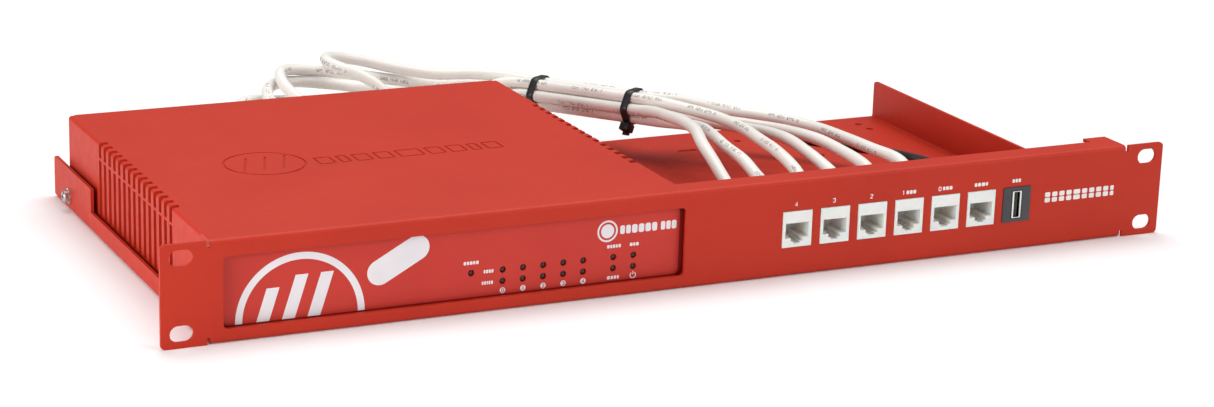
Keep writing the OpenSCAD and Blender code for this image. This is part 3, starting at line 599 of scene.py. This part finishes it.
def make_cord(k, name, start, end, diameter, look, replaced):
    """Cord k from its front plug to its rear one, in place of its CAD node."""
    points, ways = cord_route(k, start, end)
    path = [p * MM for p in smooth_path(points, ways, PATH_STEP)]
    piece = add_piece(name, tube_mesh(name, path, diameter * MM, twist=PRINT_TWIST[k]), look)
    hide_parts(replaced)


# ---- Plugs, in millimetres from their front end along Y ----

PLUG_L = 21.5
PLUG_HALF_W = 5.8
PLUG_HALF_H = 3.3
PLUG_END = 33.5
CONTACTS = 8
CONTACT_PITCH = 1.02
GRIP_L = 20
GRIP_W = 16
GRIP_H = 8.4
NOSE_L = 12
NOSE_OUTLINE = rounded(12, 4.5, 0.5)
DATA_END = 27.5
BOOT_GROOVE = 0.45
GRIP_GROOVE = 0.35
GRIP_STEPS = 40


def boot_sections(start, end, first, last, ribs):
    """Sections of a ribbed boot that narrows from a rounded rectangle to a round end."""
    (w0, h0), (w1, h1) = first, last
    sections = []
    count = 4 * ribs
    for i in range(count + 1):
        t = i / count
        groove = BOOT_GROOVE if i % 4 in (2, 3) and 1 < i < count - 1 else 0
        ease = t * t * (3 - 2 * t)
        wide = w0 + (w1 - w0) * ease - 2 * groove
        tall = h0 + (h1 - h0) * ease - 2 * groove
        corner = min(wide, tall) / 2 * (0.35 + 0.645 * min(1, 1.6 * t))
        sections.append((start + (end - start) * t, rounded(wide, tall, corner)))
    return sections


def contact_places():
    """The contacts' places across a modular mouth or plug."""
    return [(i - (CONTACTS - 1) / 2) * CONTACT_PITCH for i in range(CONTACTS)]


def modular_plug(name, place, replaced):
    """Plug, latch with its hood, and ribbed boot. The gold blades are a piece of their own."""
    shape = Shape(place)
    shape.brick((-PLUG_HALF_W, 0, -PLUG_HALF_H), (PLUG_HALF_W, PLUG_L, PLUG_HALF_H), 0.35)
    arm = [(1, -3.2), (1, -3.9), (11, -4.6), (16.5, -6.1), (17.6, -6.3), (17.6, -5.4), (16, -5.1),
           (11, -3.8), (3, -3.2)]
    wide, narrow = 2.9, 1.7
    shape.skin([[(x, y, z) for y, z in arm] for x in (-narrow, narrow)])
    shape.brick((-wide, 4, -4.45), (-narrow + 0.05, 9.5, -3.25), 0.12)
    shape.brick((narrow - 0.05, 4, -4.45), (wide, 9.5, -3.25), 0.12)
    hood = [(20.5, -3), (20.5, -7.6), (21.2, -8.6), (23, -9.6), (29, -9.6), (29.5, -9), (27.5, -3)]
    middle_y = 25
    slices = ((-2.6, 0.95), (-2.2, 1), (2.2, 1), (2.6, 0.95))
    shape.skin([[(x, middle_y + (y - middle_y) * k, z) for y, z in hood] for x, k in slices])
    shape.brick((-2.2, 22.4, -9.5), (2.2, 28.6, -8.4), 0.3)
    shape.along_y(boot_sections(PLUG_L - 2.5, PLUG_END, (11.4, 7.6), (6.9, 6.9), 4))
    piece = add_piece(name, shape.mesh(name), PLUG_WHITE)
    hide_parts(replaced)
    blades = Shape(place)
    for x in contact_places():
        blades.brick((x - 0.18, 0.3, 2.5), (x + 0.18, 6.2, 3.42), 0.05)
    return [piece, add_piece(f"{name}_blades", blades.mesh(f"{name}_blades"), GOLD)]


def data_plug(name, place, replaced):
    """Moulded grip with finger grooves, ribbed relief and a metal nose."""
    shape = Shape(place)
    sections = []
    for i in range(GRIP_STEPS + 1):
        t = i / GRIP_STEPS
        inset = 0.9 * max(0, 1 - t / 0.06) ** 2 + 0.6 * max(0, (t - 0.86) / 0.14) ** 2
        groove = GRIP_GROOVE if 0.3 < t < 0.75 and i % 4 < 2 else 0
        wide = GRIP_W - 2 * inset - 2 * groove
        sections.append((GRIP_L * t, rounded(wide, GRIP_H - 2 * inset, 2.2 - inset)))
    shape.along_y(sections)
    shape.along_y(boot_sections(GRIP_L - 0.6, DATA_END, (7.4, 6.6), (5.2, 5.2), 3))
    piece = add_piece(name, shape.mesh(name), BLACK)
    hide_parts(replaced)
    nose = Shape(place)
    nose.along_y([(0.3, NOSE_OUTLINE), (-NOSE_L, NOSE_OUTLINE)])
    return [piece, add_piece(f"{name}_nose", nose.mesh(f"{name}_nose"), SHELL)]


# ---- Cable ties ----

TIE_W = 3.8
TIE_T = 1.0
TIE_GAP = 0.02
TIE_BEVEL = 0.35
TIE_EDGE_SHARE = 0.75
TIE_HEAD_HALF_W = 2.7
TIE_HEAD_HALF_H = 3.1
TIE_HEAD_TURN = math.radians(240)


def cable_tie(name, centre, replaced):
    """Strap with bevelled edges round the bundle, and its locking head with the cut tail and pawl."""
    along_bundle = Matrix((BUNDLE_N, BUNDLE_U, Vector((0, 0, 1)))).transposed().to_4x4()
    place = Matrix.Translation(centre) @ along_bundle
    shape = Shape(place)
    inner, outer = [], []
    for corner in range(6):
        turn = math.pi / 3 * corner
        cx, cz = BUNDLE_PITCH * math.cos(turn), BUNDLE_PITCH * math.sin(turn)
        for i in range(7):
            t = turn + math.radians(10 * i - 30)
            for outline, radius in ((inner, PATCH_D / 2 + TIE_GAP), (outer, PATCH_D / 2 + TIE_GAP + TIE_T)):
                outline.append((cx + radius * math.cos(t), cz + radius * math.sin(t)))
    half = TIE_W / 2
    edge = []
    for (a, b), (c, d) in zip(inner, outer):
        edge.append((a + (c - a) * TIE_EDGE_SHARE, b + (d - b) * TIE_EDGE_SHARE))
    shape.along_y([(-half, inner), (-half, edge), (-half + TIE_BEVEL, outer), (half - TIE_BEVEL, outer),
                   (half, edge), (half, inner)], loop=True)
    shape.place = place @ Matrix.Rotation(-TIE_HEAD_TURN, 4, "Y")
    reach = BUNDLE_PITCH + PATCH_D / 2 + TIE_T
    shape.brick((reach - 0.7, -TIE_HEAD_HALF_W, -TIE_HEAD_HALF_H),
                (reach + 3.6, TIE_HEAD_HALF_W, TIE_HEAD_HALF_H), 0.6)
    shape.brick((reach + 0.9, -half, 0.6), (reach + 5.2, half, 1.8), 0.2)
    shape.brick((reach + 1.2, -half + 0.5, -1.6), (reach + 3.95, half - 0.5, -0.2), 0.2)
    piece = add_piece(name, shape.mesh(name), BLACK)
    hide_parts(replaced)
    return piece


ties = [cable_tie(f"tie_{i + 1}", tie, f"cable_tie_{i + 1}") for i, tie in enumerate((TIE_FRONT, TIE_REAR))]

# ---- Cords with their plugs ----


def patch_lead(k, rear_x):
    """A white patch cord from coupler k to its rear socket. The front plug's latch faces up."""
    start = (JACK_X + k * JACK_PITCH, CORD_Y, PLUG_Z)
    end = (rear_x, REAR_CORD_Y, REAR_SOCKET_Z)
    latch_up = Matrix.Scale(-1, 4, (0, 0, 1))
    ends = []
    for side, (x, y, z), turn in (("front", start, latch_up), ("rear", end, Matrix())):
        place = Matrix.Translation((x, y - PLUG_END, z)) @ turn
        ends += modular_plug(f"patch_plug_{side}_{k + 1}", place, f"{side}_plug_{k + 1}")
    make_cord(k, f"patch_lead_{k + 1}", start, end, PATCH_D, JACKET_WHITE, f"patch_cord_{k + 1}")


def data_lead():
    """The black data cord. Its front plug stands upright."""
    start = (USB_X, USB_CORD_Y, JACK_Z)
    end = (USB_PORT_X, USB_REAR_CORD_Y, USB_PORT_Z)
    upright = Matrix.Rotation(math.pi / 2, 4, "Y")
    front_place = Matrix.Translation((USB_X, USB_CORD_Y - DATA_END, JACK_Z)) @ upright
    rear_place = Matrix.Translation((USB_PORT_X, USB_REAR_CORD_Y - DATA_END, USB_PORT_Z))
    ends = data_plug("data_plug_front", front_place, "usb_plug_front")
    ends += data_plug("data_plug_rear", rear_place, "usb_plug_rear")
    make_cord(6, "data_lead", start, end, DATA_D, JACKET_BLACK, "usb_cord")


for k, rear_x in enumerate(REAR_SOCKET_X):
    patch_lead(k, rear_x)
data_lead()

# ---- Sockets ----

JACK_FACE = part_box("coupler_1")[0][1] / MM
PORT_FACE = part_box("lan_sockets")[1][1] / MM
MOUTH_H = 6.8
LAMP_SHIFT = 4.4
LAMP_HALF_W = 1.4
LAMP_LOW_Z = 3.75
LAMP_HIGH_Z = 4.7
INLET_X = -16
INLET_Z = -3


def jack_contacts(name, place):
    """Eight spring wires that slope down from the roof of a mouth that opens to -Y."""
    shape = Shape(place)
    roof = MOUTH_H / 2
    for x in contact_places():
        shape.wire([(x, 2.2, roof - 0.1), (x, 3, roof - 0.4), (x, 9.4, roof - 3.1), (x, 10.2, roof - 3.2),
                    (x, 12.9, roof - 1.6)], 0.42, 6)
    add_piece(name, shape.mesh(name), GOLD)


def data_mouth():
    """The data coupler's tongue with its pads, its dark mask and its bright rim."""
    place = Matrix.Translation((USB_X, JACK_FACE, JACK_Z))
    tongue = Shape(place)
    tongue.brick((-0.85, 0.7, -5.7), (0.85, 12.8, 5.7), 0.25)
    add_piece("data_tongue", tongue.mesh("data_tongue"), BLACK)
    pads = Shape(place)
    for z in (-3.5, -1.0, 1.0, 3.5):
        pads.brick((0.8, 1.4, z - 0.5), (0.98, 12, z + 0.5), 0.06)
    add_piece("data_pads", pads.mesh("data_pads"), GOLD)
    for name, look, outer, inner, depth in (
        ("data_mask", BLACK, rounded(6, 13.5, 0.5), rounded(4.7, 12.6, 0.3), 0.4),
        ("data_rim", BRIGHT_RIM, rounded(4.74, 12.64, 0.3), rounded(3.1, 12, 0.2), 0.6),
    ):
        rim = Shape(place)
        rim.frame(outer, inner, -0.08, depth)
        add_piece(name, rim.mesh(name), look)


def port_lamps(colour, side, look):
    """A lamp over the same corner of every rear socket."""
    lamps = Shape()
    for rear_x in REAR_SOCKET_X:
        x = rear_x + side * LAMP_SHIFT
        lamps.brick((x - LAMP_HALF_W, PORT_FACE - 0.6, LAMP_LOW_Z),
                    (x + LAMP_HALF_W, PORT_FACE + 0.12, LAMP_HIGH_Z), 0.15)
    add_piece(f"port_lamps_{colour}", lamps.mesh(f"port_lamps_{colour}"), look)


def inlet_pin():
    """The pin in the power inlet."""
    low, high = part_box("dc_socket")
    pin = Shape(Matrix.Translation(((low[0] + high[0]) / 2 / MM, high[1] / MM, INLET_Z)))
    pin.along_y([(-10, disc(1.12)), (-2.0, disc(1.12)), (-1.5, disc(0.9)), (-1.3, disc(0.5))])
    add_piece("inlet_pin", pin.mesh("inlet_pin"), ZINC)


half_turn = Matrix.Rotation(math.pi, 4, "Z")
for k, rear_x in enumerate(REAR_SOCKET_X):
    jack_place = Matrix.Translation((JACK_X + k * JACK_PITCH, JACK_FACE, PLUG_Z))
    port_place = Matrix.Translation((rear_x, PORT_FACE, REAR_SOCKET_Z)) @ half_turn
    jack_contacts(f"jack_contacts_{k + 1}", jack_place)
    jack_contacts(f"port_contacts_{k + 1}", port_place)
data_mouth()
port_lamps("green", -1, LENS_GREEN)
port_lamps("amber", 1, LENS_AMBER)
inlet_pin()

# ---- Printing, in millimetres ----

# Strokes of a digit on a grid 4 wide and 6 high
DIGITS = {
    "0": ((0, 1), (0, 5), (1, 6), (3, 6), (4, 5), (4, 1), (3, 0), (1, 0)),
    "1": ((0.8, 4.8), (2.2, 6), (2.2, 0)),
    "2": ((0, 5), (1, 6), (3, 6), (4, 5), (4, 4), (0, 0), (4, 0)),
    "3": ((0, 5.4), (1, 6), (3, 6), (4, 5), (4, 4), (3, 3.1), (4, 2.2), (4, 1), (3, 0), (1, 0), (0, 0.6)),
    "4": ((3, 0), (3, 6), (0, 2), (4, 2)),
}
DIGIT_W = 4
DIGIT_H = 6
DIGIT_LINE = 0.22
FILM_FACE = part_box("bezel_film")[0][1] / MM
PANEL_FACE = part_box("rack_tray")[0][1] / MM
REAR_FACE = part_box("chassis_base")[1][1] / MM
# Ink starts a little inside its face and ends proud of it
INK_SUNK = 0.03
INK_T = 0.06


class Print(Shape):
    """Ink on a face at one depth, seen from the front, or from the back where facing is -1."""

    def __init__(self, face, facing=1):
        super().__init__()
        self.y0 = face + INK_SUNK * facing
        self.y1 = face - INK_T * facing
        self.facing = facing

    def line(self, points, width, closed=False):
        self.stroke(points, width, self.y0, self.y1, closed)

    def area(self, outline):
        self.along_y([(self.y0, outline), (self.y1, outline)])

    def ring(self, centre, radius, width):
        self.line(disc(radius, 40, centre), width, closed=True)

    def digit(self, text, centre, height):
        scale = height / DIGIT_H
        points = []
        for x, z in DIGITS[text]:
            across = (x - DIGIT_W / 2) * scale * self.facing
            points.append((centre[0] + across, centre[1] + (z - DIGIT_H / 2) * scale))
        self.line(points, height * DIGIT_LINE, closed=text == "0")

    def dashes(self, x, z, lengths, height, gap):
        """A row of short bars that starts at x."""
        for length in lengths:
            self.area(rounded(length, height, min(length, height) * 0.3, (x + length / 2, z), 2))
            x += length + gap


# Indicators, as in part.scad
LED_UPPER_Z = -5.3
LED_LOWER_Z = -10.3
LED_SINGLE_X = -105.4
LED_FIRST_X = -91
LED_PITCH_X = 9.35
LED_MODE_X = -39.4
LED_POWER_X = -29.9
LED_PORT_X = [LED_FIRST_X + LED_PITCH_X * i for i in range(5)]

# Emblem on the bezel: the upper half of a ring and three slanted bars, down to the window's lower edge
RING_X = -181
RING_Z = -16
RING_R = 26.5
RING_LINE = 3
BARS = ((-200, -2), (-189, 2.5), (-178, 2.5))
BAR_W = 5.5
BAR_LEAN = 0.32
STRIPE_FOOT = Vector((-146.5, -0.5))
STRIPE_TOP = Vector((-130, 8.5))
STRIPE_R = 5.5

# Row of blocks in place of a name, and the small marks at the indicators
NAME_X = -36.6
NUMBER_X = -17.2
NAME_Z = 6.6
NAME_H = 3.8
BADGE = (-42.6, NAME_Z)
LETTER_GAP = 0.35
NARROW_GAP = 0.3
WORD_H = 1.5
NUMBER_Z = -14.4
NUMBER_R = 1.25
BEZEL_WORDS = (
    (-109, -0.8, (1.2, 0.9, 1.2, 0.9, 1.2), LETTER_GAP),
    (-99.8, LED_UPPER_Z, (0.8, 0.9, 0.9, 0.9), NARROW_GAP),
    (-100.6, LED_LOWER_Z, (0.8, 0.9, 0.5, 0.8, 0.9), NARROW_GAP),
    (-42.6, -0.4, (1.2, 0.9, 1.1, 0.8, 1.1), LETTER_GAP),
    (-31.8, -0.4, (1.3, 0.9, 1.3), LETTER_GAP),
    (-42.2, NUMBER_Z, (1.4, 1.1, 1.2, 0.9), LETTER_GAP),
)
POWER_Z = -14.3
POWER_R = 1.3
POWER_LINE = 0.35

# Dark border round the film, seen through the window: the bare bezel past the film's edge, with painted
# shade for the gap behind the window's edge
WINDOW_X = -111
SHADE_BORDER_R = 2
SHADE_BORDER_OUTER = rounded(209.8, 32, SHADE_BORDER_R, (WINDOW_X, -0.4))
SHADE_BORDER_INNER = rounded(205.6, 29.7, SHADE_BORDER_R, (WINDOW_X, -1.05))

# Labels over the couplers and the rows of blocks at the panel's right end
LABEL_Z = 10.8
LABEL_H = 1.7
DIGIT_SHIFT = -0.8
WORD_SHIFT = -1.8
DIGIT_BY_WORD_SHIFT = -3.3
MARK_X = 177.5
MARK_Z = 1.2
MARK_H = 5.2
MARK_GAP = 1.1
MARK_LENGTHS = (2.8, 2.8, 2.8, 2.8, 3.6, 2.8, 2.8, 2.8, 2.8, 1.9)

# Labels on the rear wall
REAR_LABEL_Z = 8.2
REAR_DIGIT_H = 2.2
REAR_WORD_H = 1.2
REAR_LETTER_GAP = 0.4
POLARITY_Z = 6.2
POLARITY_R = 1.3
POLARITY_REACH = 5
POLARITY_LINE = 0.35


def print_emblem(film):
    arc = [math.pi * i / 48 for i in range(49)]
    film.line([(RING_X + RING_R * math.cos(t), RING_Z + RING_R * math.sin(t)) for t in arc], RING_LINE)
    for x, top in BARS:
        lean = (top - RING_Z) * BAR_LEAN
        film.area([(x, RING_Z), (x + BAR_W, RING_Z), (x + BAR_W + lean, top), (x + lean, top)])


def print_stripe(film):
    """A slanted stripe with round ends."""
    turn = math.atan2(STRIPE_TOP.y - STRIPE_FOOT.y, STRIPE_TOP.x - STRIPE_FOOT.x)
    outline = []
    for centre, start in ((STRIPE_TOP, turn - math.pi / 2), (STRIPE_FOOT, turn + math.pi / 2)):
        for i in range(17):
            t = start + math.pi * i / 16
            outline.append((centre.x + STRIPE_R * math.cos(t), centre.y + STRIPE_R * math.sin(t)))
    film.area(outline)


def print_name(film):
    """A disc in a ring and two groups of plain blocks."""
    film.area(disc(3.1, 32, BADGE))
    film.ring(BADGE, 4.4, 0.8)
    film.dashes(NAME_X, NAME_Z, (2.2, 2.2, 2.6, 2.6, 2.6, 2.4), NAME_H, 0.6)
    film.dashes(NUMBER_X, NAME_Z, (2.1, 2.1, 2.3), NAME_H, 0.5)


def print_indicator_marks(film):
    """Short blocks for the words, a disc under each port's indicators, and the power symbol."""
    for x, z, lengths, gap in BEZEL_WORDS:
        film.dashes(x, z, lengths, WORD_H, gap)
    for x in LED_PORT_X:
        film.area(disc(NUMBER_R, 24, (x, NUMBER_Z)))
    arc = [math.radians(125 + 290 * i / 24) for i in range(25)]
    film.line([(LED_POWER_X + POWER_R * math.cos(t), POWER_Z + POWER_R * math.sin(t)) for t in arc],
              POWER_LINE)
    film.line([(LED_POWER_X, POWER_Z + 0.3), (LED_POWER_X, POWER_Z + 1.8)], POWER_LINE)


def print_bezel():
    """The white print on the film, the digits on its discs, and the dark border round it, which is painted
    shade at the window's edge.
    """
    film = Print(FILM_FACE)
    print_emblem(film)
    print_stripe(film)
    print_name(film)
    print_indicator_marks(film)
    add_piece("bezel_print", film.mesh("bezel_print"), PRINT_WHITE)
    numbers = Print(FILM_FACE - INK_T)
    for i, x in enumerate(LED_PORT_X):
        numbers.digit(str(i), (x, NUMBER_Z), 1.4)
    add_piece("bezel_numbers", numbers.mesh("bezel_numbers"), FILM_RED)
    # Painted shade round the film, where the window's edge shades the bare bezel
    shade_border = Print(FILM_FACE - INK_SUNK)
    shade_border.frame(SHADE_BORDER_OUTER, SHADE_BORDER_INNER, shade_border.y0, shade_border.y1)
    add_piece("bezel_shade_border", shade_border.mesh("bezel_shade_border"), PAINTED_SHADE_RED)


def print_panel():
    """A digit over each of five couplers, blocks for the words, and two rows of blocks at the right."""
    panel = Print(PANEL_FACE)
    for i, text in enumerate("43210"):
        by_word = text in "10"
        x = JACK_X + i * JACK_PITCH
        panel.digit(text, (x + (DIGIT_BY_WORD_SHIFT if by_word else DIGIT_SHIFT), LABEL_Z), LABEL_H)
        if by_word:
            panel.dashes(x + WORD_SHIFT, LABEL_Z, (1.3, 1.5, 1.5), LABEL_H, LETTER_GAP)
    panel.dashes(JACK_X + 5 * JACK_PITCH - 4, LABEL_Z, (1.4, 1.6, 1.9, 1.1), LABEL_H, LETTER_GAP)
    panel.dashes(USB_X - 2.8, LABEL_Z, (1.3, 1.2, 1.3), LABEL_H, LETTER_GAP)
    x = MARK_X
    for length in MARK_LENGTHS:
        for z in (MARK_Z - MARK_H / 4, MARK_Z + MARK_H / 4):
            panel.area(rounded(length, MARK_H / 2 - 0.4, 0.5, (x + length / 2, z), 2))
        x += length + MARK_GAP
    add_piece("panel_print", panel.mesh("panel_print"), LABEL_WHITE)


def print_rear():
    """Digits over the network sockets, blocks for the words, and the inlet's polarity sign."""
    rear = Print(REAR_FACE, -1)
    for i, x in enumerate(reversed(REAR_SOCKET_X[:5])):
        rear.digit(str(i), (x, REAR_LABEL_Z), REAR_DIGIT_H)
    rear.dashes(REAR_SOCKET_X[5] - 3, REAR_LABEL_Z, (2.2, 1.4, 1.6), REAR_WORD_H, REAR_LETTER_GAP)
    rear.dashes(USB_PORT_X - 2.5, 2.2, (1.8, 1.2, 1.4), REAR_WORD_H, REAR_LETTER_GAP)
    rear.ring((INLET_X, POLARITY_Z), POLARITY_R, POLARITY_LINE)
    rear.area(disc(0.45, 16, (INLET_X, POLARITY_Z)))
    for side in (-1, 1):
        near = (INLET_X + side * POLARITY_R, POLARITY_Z)
        far = (INLET_X + side * POLARITY_REACH, POLARITY_Z)
        rear.line([near, far], POLARITY_LINE)
    rear.dashes(-174.5, 0.5, (2.2, 1.2, 1.2), 1.1, REAR_LETTER_GAP)
    add_piece("rear_print", rear.mesh("rear_print"), LABEL_WHITE)


print_bezel()
print_panel()
print_rear()

# ---- Indicator lenses ----

LENS_R = 1.28
# (depth behind the guide's front end, share of the radius)
LENS_DOME = ((0.4, 1), (-0.05, 1), (-0.3, 0.86), (-0.45, 0.5), (-0.5, 0.1))


def indicator_lenses():
    """A shallow dome on the end of every light guide."""
    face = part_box("light_pipes")[0][1] / MM
    columns = (*LED_PORT_X, LED_MODE_X, LED_POWER_X)
    places = [(LED_SINGLE_X, LED_UPPER_Z)] + [(x, z) for x in columns for z in (LED_UPPER_Z, LED_LOWER_Z)]
    lens = Shape()
    for place in places:
        lens.along_y([(face + depth, disc(LENS_R * share, 24, place)) for depth, share in LENS_DOME])
    add_piece("indicator_lenses", lens.mesh("indicator_lenses"), SMOKED)


indicator_lenses()

# ---- Studio, in metres ----

FLOOR_REACH = 6
WORLD_STRENGTH = 0.22


def make_floor():
    """A white floor under the CAD model's lowest point."""
    mesh = bpy.data.meshes.new("floor")
    signs = ((-1, -1), (1, -1), (1, 1), (-1, 1))
    corners = [(sx * FLOOR_REACH, sy * FLOOR_REACH, cad_box[0][2]) for sx, sy in signs]
    mesh.from_pydata(corners, [], [(0, 1, 2, 3)])
    floor = bpy.data.objects.new("floor", mesh)
    bpy.context.scene.collection.objects.link(floor)
    look = Look("floor_white", Roughness=0.9)
    look.drive("Base Color", look.mix(look.noise(3), rgb(240, 240, 240), rgb(246, 246, 246)))
    mesh.materials.append(look.material)


def area_light(name, place, target, size, power):
    data = bpy.data.lights.new(name, "AREA")
    data.shape = "RECTANGLE"
    data.size, data.size_y = size
    data.energy = power
    light = bpy.data.objects.new(name, data)
    light.location = place
    light.rotation_euler = (Vector(target) - Vector(place)).to_track_quat("-Z", "Y").to_euler()
    bpy.context.scene.collection.objects.link(light)


def make_studio():
    """An even white surround with a wide light above, a small one at the left and one in front."""
    world = bpy.data.worlds.new("studio")
    world.use_nodes = True
    background = world.node_tree.nodes["Background"]
    background.inputs["Color"].default_value = (1, 1, 1, 1)
    background.inputs["Strength"].default_value = WORLD_STRENGTH
    bpy.context.scene.world = world
    area_light("top_softbox", place=(0.35, 0.45, 1.7), target=(0, 0.1, 0), size=(2.2, 1.6), power=36)
    area_light("left_softbox", place=(-1.0, -0.2, 0.28), target=(-0.2, 0.1, 0), size=(0.7, 0.4), power=7)
    area_light("front_softbox", place=(1.5, -2.0, 1.0), target=(0, 0, 0), size=(1.2, 0.9), power=21)


make_floor()
make_studio()
scene = bpy.context.scene
scene.view_settings.view_transform = "Standard"
scene.view_settings.look = "None"
